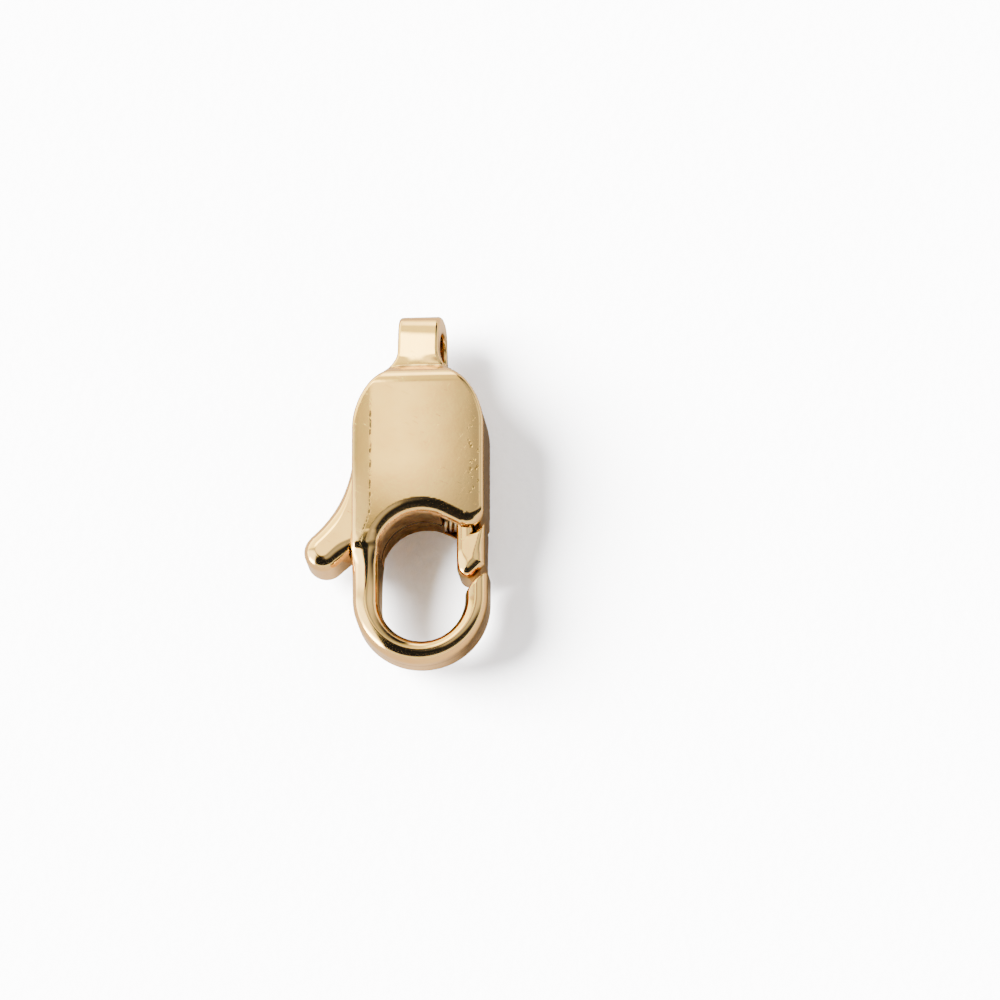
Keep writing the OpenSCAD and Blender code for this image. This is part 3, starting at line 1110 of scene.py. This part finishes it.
    def floor(self) -> None:
        """Makes the pale paper that the clasp lies on, painted dark and warm in the metal's reflections.
        """
        half = self.floor_size / 2 * MM
        mesh = bpy.data.meshes.new("floor")
        corners = [(-half, -half), (half, -half), (half, half), (-half, half)]
        mesh.from_pydata([(x, y, self.floor_z * MM) for x, y in corners], [], [(0, 1, 2, 3)])
        paper = bpy.data.materials.new("white paper")
        paper.use_nodes = True
        made = Nodes(paper.node_tree)
        surface = paper.node_tree.nodes["Principled BSDF"]
        # Glossy rays see a dark, warm paper instead of the pale one: painted shade in what the metal
        # mirrors.
        path = made.add("ShaderNodeLightPath")
        made.feed(surface.inputs["Base Color"],
                  made.mix(path.outputs["Is Glossy Ray"], self.paper, self.reflected_paper_shade))
        surface.inputs["Roughness"].default_value = self.paper_roughness
        surface.inputs["Specular IOR Level"].default_value = self.paper_sheen
        place = made.place()
        bump = made.add("ShaderNodeBump")
        bump.inputs["Strength"].default_value = self.paper_bump
        bump.inputs["Distance"].default_value = self.paper_relief * MM
        made.feed(bump.inputs["Height"], made.noise(place, *self.paper_grain))
        made.feed(surface.inputs["Normal"], bump.outputs[0])
        mesh.materials.append(paper)
        floor = bpy.data.objects.new("floor", mesh)
        bpy.context.scene.collection.objects.link(floor)

    def camera(self) -> None:
        """Places the camera at the photograph's angle."""
        data = bpy.data.cameras.new("camera")
        data.sensor_width = self.sensor
        data.lens = data.sensor_width * self.distance / self.view_width
        data.clip_start, data.clip_end = self.clip
        camera = bpy.data.objects.new("camera", data)
        back = Vector(self.toward_camera).normalized()
        right = Vector((0, 1, 0)).cross(back).normalized()
        up = back.cross(right)
        place = (Vector(self.aim) + back * self.distance) * MM
        camera.matrix_world = Matrix.Translation(place) @ Matrix((right, up, back)).transposed().to_4x4()
        bpy.context.scene.collection.objects.link(camera)
        bpy.context.scene.camera = camera

    def build(self) -> None:
        """Sets up the whole studio."""
        self.light()
        self.key()
        self.floor()
        self.camera()


class Effect(Enum):
    """Surface effects that several materials share, as shader node groups."""

    GRAIN = "fine grain"
    SCRATCHES = "hair scratches"
    TARNISH = "tarnish in blotches"


class Effects:
    """Shader node groups for wear, each made once and then shared."""

    fine_grain = (9.0, 3.0)
    fine_share = 0.3
    broad_grain = (1.3, 2.0)
    hairs = ((0.9, 3.0), (-0.5, 11.0))
    hair_lean = (0.2, 0.6)
    hair_stretch = (1.6, 30.0)
    hair_width = (0.72, 0.78)
    blotches = (3.2, 5.0, 0.6)
    blotch_edge = (0.38, 0.68)

    def __init__(self) -> None:
        """Makes the groups."""
        makers = {
            Effect.GRAIN: self.grain,
            Effect.SCRATCHES: self.scratches,
            Effect.TARNISH: self.tarnish,
        }
        self.groups = {effect: self.group(effect, maker) for effect, maker in makers.items()}

    def group(self, effect: Effect, maker: Callable) -> bpy.types.NodeTree:
        """Makes one group with an amount going in and a mask coming out.

        Args:
            effect: the effect that the group is for.
            maker: method that adds its nodes and gives back the mask.

        Returns:
            The group's node tree.
        """
        tree = bpy.data.node_groups.new(effect.value, "ShaderNodeTree")
        tree.interface.new_socket("Amount", in_out="INPUT", socket_type="NodeSocketFloat")
        tree.interface.new_socket("Mask", in_out="OUTPUT", socket_type="NodeSocketFloat")
        nodes = Nodes(tree)
        amount = nodes.add("NodeGroupInput").outputs["Amount"]
        mask = nodes.math("MULTIPLY", amount, maker(nodes, nodes.place()))
        nodes.feed(nodes.add("NodeGroupOutput").inputs["Mask"], mask)
        return tree

    def grain(self, nodes: Nodes, place: bpy.types.NodeSocket) -> bpy.types.NodeSocket:
        """Adds the uneven, faintly dimpled look of polished plate.

        Args:
            nodes: nodes of the group.
            place: place on the object in millimetres.

        Returns:
            The mask.
        """
        fine = nodes.math("MULTIPLY", nodes.noise(place, *self.fine_grain), self.fine_share)
        return nodes.math("ADD", fine, nodes.noise(place, *self.broad_grain))

    def scratches(self, nodes: Nodes, place: bpy.types.NodeSocket) -> bpy.types.NodeSocket:
        """Adds short hair scratches in two directions.

        Args:
            nodes: nodes of the group.
            place: place on the object in millimetres.

        Returns:
            The mask.
        """
        total = None
        for turn, seed in self.hairs:
            axes = ((math.cos(turn), math.sin(turn)), (-math.sin(turn), math.cos(turn)))
            spot = nodes.add("ShaderNodeCombineXYZ")
            for socket, axis, lean, stretch in zip(spot.inputs, axes, self.hair_lean,
                                                   self.hair_stretch):
                way = nodes.vector("DOT_PRODUCT", place, (*axis, lean))
                nodes.feed(socket, nodes.math("MULTIPLY", way, stretch))
            spot.inputs["Z"].default_value = seed
            line = nodes.ramp(nodes.noise(spot.outputs[0], 1.0, 1.0), *self.hair_width)
            total = line if total is None else nodes.math("MAXIMUM", total, line)
        return total

    def tarnish(self, nodes: Nodes, place: bpy.types.NodeSocket) -> bpy.types.NodeSocket:
        """Adds uneven blotches."""
        return nodes.ramp(nodes.noise(place, *self.blotches), *self.blotch_edge)

    def mask(self, nodes: Nodes, effect: Effect, amount: object = 1.0) -> bpy.types.NodeSocket:
        """Adds an effect to a material.

        Args:
            nodes: nodes of the material.
            effect: the effect wanted.
            amount: number or socket that its mask is multiplied by.

        Returns:
            The effect's mask.
        """
        node = nodes.add("ShaderNodeGroup", node_tree=self.groups[effect])
        nodes.feed(node.inputs["Amount"], amount)
        return node.outputs["Mask"]


@dataclass(frozen=True)
class Plating:
    """Polished pale gold plate with hair scratches."""

    name: str
    effects: Effects
    colour: tuple[float, float, float] = (0.93, 0.63, 0.26)
    rubbed: tuple[float, float, float] = (0.90, 0.58, 0.23)
    rubbed_from: Point = (0.4, 0.9)
    # Dark colour of dirt, and of painted shade where a piece's marks paint it.
    shade: tuple[float, float, float] = (0.05, 0.028, 0.012)
    copper: tuple[float, float, float] = (0.95, 0.62, 0.30)
    dull_copper: tuple[float, float, float] = (0.75, 0.44, 0.19)
    roughness: float = 0.07
    raw_roughness: float = 0.2
    dirt_and_shade_roughness: float = 0.3
    uneven_roughness: float = 0.05
    scratch_depth: float = 0.35
    raw_height: float = 4.0
    pit_depth: float = 3.0
    bump: float = 0.4
    relief: float = 0.004

    def marks(self, nodes: Nodes) -> tuple[object, object, object]:
        """Adds the marks that only this piece has.

        Args:
            nodes: nodes of the material, not used here.

        Returns:
            Masks of raw metal, of dirt and painted shade, and of pits.
        """
        return 0.0, 0.0, 0.0

    def material(self) -> bpy.types.Material:
        """Makes the material.

        Returns:
            The material, with its constant values on the shader's own sockets.
        """
        made = bpy.data.materials.new(self.name)
        made.use_nodes = True
        nodes = Nodes(made.node_tree)
        surface = made.node_tree.nodes["Principled BSDF"]
        surface.inputs["Metallic"].default_value = 1.0
        grain = self.effects.mask(nodes, Effect.GRAIN)
        scratches = self.effects.mask(nodes, Effect.SCRATCHES)
        blotches = self.effects.mask(nodes, Effect.TARNISH)
        raw, dirt_and_shade, pits = self.marks(nodes)
        rubbed = nodes.ramp(grain, *self.rubbed_from)
        colour = nodes.mix(rubbed, (*self.colour, 1), (*self.rubbed, 1))
        copper = nodes.mix(blotches, (*self.copper, 1), (*self.dull_copper, 1))
        colour = nodes.mix(raw, colour, copper)
        # Darkens towards the dark colour: dirt, and painted shade where the marks paint it.
        colour = nodes.mix(dirt_and_shade, colour, (*self.shade, 1))
        nodes.feed(surface.inputs["Base Color"], colour)
        rough = nodes.math("MULTIPLY_ADD", grain, self.uneven_roughness, self.roughness)
        rough = nodes.math("MULTIPLY_ADD", scratches, self.uneven_roughness, rough)
        rough = nodes.math("MULTIPLY_ADD", raw, self.raw_roughness, rough)
        rough = nodes.math("MULTIPLY_ADD", dirt_and_shade, self.dirt_and_shade_roughness, rough)
        nodes.feed(surface.inputs["Roughness"], rough)
        height = nodes.math("MULTIPLY_ADD", scratches, -self.scratch_depth, grain)
        rough_copper = nodes.math("MULTIPLY", raw, blotches)
        height = nodes.math("MULTIPLY_ADD", rough_copper, self.raw_height, height)
        height = nodes.math("MULTIPLY_ADD", pits, -self.pit_depth, height)
        bump = nodes.add("ShaderNodeBump")
        bump.inputs["Strength"].default_value = self.bump
        bump.inputs["Distance"].default_value = self.relief * MM
        nodes.feed(bump.inputs["Height"], height)
        nodes.feed(surface.inputs["Normal"], bump.outputs[0])
        return made


@dataclass(frozen=True)
class HousingPlating(Plating):
    """Plate of the folded housing: rough rims, a seam, marks along the creases, painted shade under the
    bail.

    Each pair of numbers says where a mark starts to show and where it is full, in millimetres
    or, for the noises, as a share.
    """

    shape: Housing = field(default_factory=Housing)
    wobble: Point = (2.6, 4.0)
    jag: Point = (7.0, 4.0)
    face: Point = (1.15, 1.25)
    wall_reach: Point = (0.16, 0.06)
    wall_depth: Point = (1.32, 1.12)
    wall_low: Point = (-7.6, -7.1)
    inside_reach: Point = (0.08, 0.02)
    inside_depth: Point = (1.08, 1.06)
    inside_top: Point = (-1.1, -1.3)
    inside_low: Point = (-7.25, -7.1)
    inside_hole: Point = (1.6, 1.7)
    seam_z: float = 0.06
    seam_jag: float = 0.12
    seam_width: Point = (0.11, 0.04)
    seam_dirt: float = 0.75
    crease_bend: Point = (-5.7, -7.0)
    crease_in: float = 0.04
    crease_wobble: float = 0.08
    crease_width: Point = (0.045, 0.015)
    dash_breaks: Point = (0.44, 0.52)
    dash_top: Point = (-1.9, -2.6)
    dash_low: Point = (-7.15, -6.9)
    dash_dirt: float = 0.85
    speck_scale: float = 5.0
    speck_size: Point = (0.36, 0.22)
    speck_breaks: Point = (0.42, 0.5)
    speck_left: Point = (1.66, 1.8)
    speck_right: Point = (2.12, 2.02)
    speck_low: Point = (-5.9, -5.6)
    speck_top: Point = (-2.6, -3.0)
    speck_dirt: float = 0.7
    # Painted shade: a dark band across the crease where the bail meets the plates, broken up by noise.
    neck_low: Point = (-0.98, -0.86)
    neck_top: Point = (-0.66, -0.76)
    neck_depth: Point = (0.9, 1.0)
    neck_breaks: Point = (0.35, 0.6)
    neck_shade_share: float = 0.5
    fold_z: float = 0.18
    fold_wobble: float = 0.06
    fold_width: Point = (0.05, 0.015)
    fold_hole: Point = (1.9, 2.1)
    fold_top: Point = (-7.4, -7.9)
    fold_dirt: float = 0.45

    def marks(self, nodes: Nodes) -> tuple[object, object, object]:
        """Adds rough rims and interior, the seam, the crease's dashes, the pits and painted shade under
        the bail.

        Args:
            nodes: nodes of the material.

        Returns:
            Masks of raw metal, of dirt, and of pits.
        """
        shape, hole = self.shape, self.shape.opening
        place = nodes.place()
        x, y, z = nodes.parts(place)
        depth = nodes.math("ABSOLUTE", z)
        wobble = nodes.noise(place, *self.wobble)
        jag = nodes.noise(place, *self.jag)
        front = nodes.ramp(z, *self.face)
        from_arch = nodes.flat_distance(place, (hole.x, hole.arch_y))

        near = nodes.math("ABSOLUTE", nodes.math("SUBTRACT", from_arch, hole.radius))
        wall = nodes.product(nodes.ramp(near, *self.wall_reach), nodes.ramp(depth, *self.wall_depth),
                             nodes.ramp(y, *self.wall_low))
        sides = nodes.math("ADD", nodes.math("ABSOLUTE", x), shape.arch_offset)
        shoulders = nodes.math("MAXIMUM", nodes.math("SUBTRACT", y, shape.arch_y), 0.0)
        reach = nodes.math("MULTIPLY_ADD", sides, sides, nodes.product(shoulders, shoulders))
        reach = nodes.math("SUBTRACT", nodes.math("SQRT", reach), shape.arch_r - shape.rim)
        inside = nodes.product(nodes.ramp(reach, *self.inside_reach),
                               nodes.ramp(depth, *self.inside_depth),
                               nodes.ramp(y, *self.inside_top), nodes.ramp(y, *self.inside_low),
                               nodes.ramp(from_arch, *self.inside_hole))

        seam = nodes.product(nodes.line(z, self.seam_z, self.seam_width, jag, self.seam_jag),
                             wall, self.seam_dirt)
        crease = nodes.math("ADD", x, nodes.ramp(y, *self.crease_bend, (0.0, shape.crease_bend)))
        dashes = nodes.product(nodes.line(crease, shape.left_crease_x + self.crease_in,
                                          self.crease_width, wobble, self.crease_wobble),
                               nodes.ramp(jag, *self.dash_breaks), nodes.ramp(y, *self.dash_top),
                               nodes.ramp(y, *self.dash_low), front)
        cells = nodes.add("ShaderNodeTexVoronoi")
        nodes.feed(cells.inputs["Vector"], place)
        cells.inputs["Scale"].default_value = self.speck_scale
        specks = nodes.product(nodes.ramp(cells.outputs["Distance"], *self.speck_size),
                               nodes.ramp(x, *self.speck_left), nodes.ramp(x, *self.speck_right),
                               nodes.ramp(y, *self.speck_low), nodes.ramp(y, *self.speck_top),
                               front, nodes.ramp(jag, *self.speck_breaks))
        # Painted shade: a dark band across the crease under the bail, not dirt.
        painted_neck_shade = nodes.product(nodes.ramp(y, *self.neck_low), nodes.ramp(y, *self.neck_top),
                             nodes.ramp(depth, *self.neck_depth),
                             nodes.ramp(wobble, *self.neck_breaks))
        fold = nodes.product(nodes.line(z, self.fold_z, self.fold_width, wobble, self.fold_wobble),
                             nodes.ramp(from_arch, *self.fold_hole), nodes.ramp(y, *self.fold_top))

        # Dirt from the seam, fold, dashes and specks, plus painted shade from the band under the bail.
        dirt_and_shade = seam
        for mark, share in ((fold, self.fold_dirt), (dashes, self.dash_dirt),
                            (specks, self.speck_dirt), (painted_neck_shade, self.neck_shade_share)):
            dirt_and_shade = nodes.math("MAXIMUM", dirt_and_shade, nodes.math("MULTIPLY", mark, share))
        return nodes.math("MAXIMUM", wall, inside), dirt_and_shade, nodes.math("MAXIMUM", dashes, specks)


@dataclass(frozen=True)
class LeverPlating(Plating):
    """Plate of the lever: polished outside, bare where it turns inside the housing."""

    shape: Lever = field(default_factory=Lever)
    inside_left: Point = (-1.95, -1.8)
    inside_low: Point = (-5.9, -5.6)
    inside_share: float = 0.7
    grime: Point = (0.5, 0.4)

    def marks(self, nodes: Nodes) -> tuple[object, object, object]:
        """Adds bare metal to the arm and boss inside, and grime in the pin's hole.

        Args:
            nodes: nodes of the material.

        Returns:
            Masks of raw metal, of dirt, and of pits.
        """
        place = nodes.place()
        x, y, _ = nodes.parts(place)
        inside = nodes.product(nodes.ramp(x, *self.inside_left), nodes.ramp(y, *self.inside_low),
                               self.inside_share)
        grime = nodes.ramp(nodes.flat_distance(place, self.shape.pivot), *self.grime)
        return inside, grime, grime


@dataclass(frozen=True)
class DrawnWire:
    """Bare drawn metal with fine lines along it."""

    name: str
    effects: Effects
    colour: tuple[float, float, float]
    dull: tuple[float, float, float]
    roughness: float
    uneven_roughness: float = 0.15
    bump: float = 0.5
    relief: float = 0.004

    def material(self) -> bpy.types.Material:
        """Makes the material.

        Returns:
            The material.
        """
        made = bpy.data.materials.new(self.name)
        made.use_nodes = True
        nodes = Nodes(made.node_tree)
        surface = made.node_tree.nodes["Principled BSDF"]
        surface.inputs["Metallic"].default_value = 1.0
        blotches = self.effects.mask(nodes, Effect.TARNISH)
        scratches = self.effects.mask(nodes, Effect.SCRATCHES)
        nodes.feed(surface.inputs["Base Color"],
                   nodes.mix(blotches, (*self.colour, 1), (*self.dull, 1)))
        rough = nodes.math("MULTIPLY_ADD", blotches, self.uneven_roughness, self.roughness)
        nodes.feed(surface.inputs["Roughness"], rough)
        bump = nodes.add("ShaderNodeBump")
        bump.inputs["Strength"].default_value = self.bump
        bump.inputs["Distance"].default_value = self.relief * MM
        nodes.feed(bump.inputs["Height"], nodes.math("ADD", scratches, blotches))
        nodes.feed(surface.inputs["Normal"], bump.outputs[0])
        return made


def main() -> None:
    """Builds the clasp and its studio in order."""
    logging.basicConfig(level=logging.INFO, format="%(message)s")
    effects = Effects()
    gold = HousingPlating("gold_plate", effects).material()
    lever_gold = LeverPlating("gold_plate_lever", effects).material()
    brass = DrawnWire("brass_pin", effects, (0.75, 0.52, 0.28), (0.5, 0.32, 0.15), 0.28).material()
    steel = DrawnWire("spring_wire", effects, (0.55, 0.50, 0.43), (0.3, 0.2, 0.12), 0.3).material()

    housing = Housing().build()
    housing.data.materials.append(gold)
    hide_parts("housing")
    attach(housing, "housing")

    lever = Lever().build()
    lever.data.materials.append(lever_gold)
    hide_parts("lever")
    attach(lever, "lever")

    spring = Spring()
    coil = spring.build(steel)
    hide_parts("spring")
    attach(coil, "housing")
    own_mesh(coil)

    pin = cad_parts["pivot_pin"]
    for slot in pin.material_slots:
        slot.material = brass
    LOG.info("pivot_pin: dressed in %s", brass.name)
    Studio(floor_z=-Housing.face_z).build()


if __name__ == "__main__":
    main()
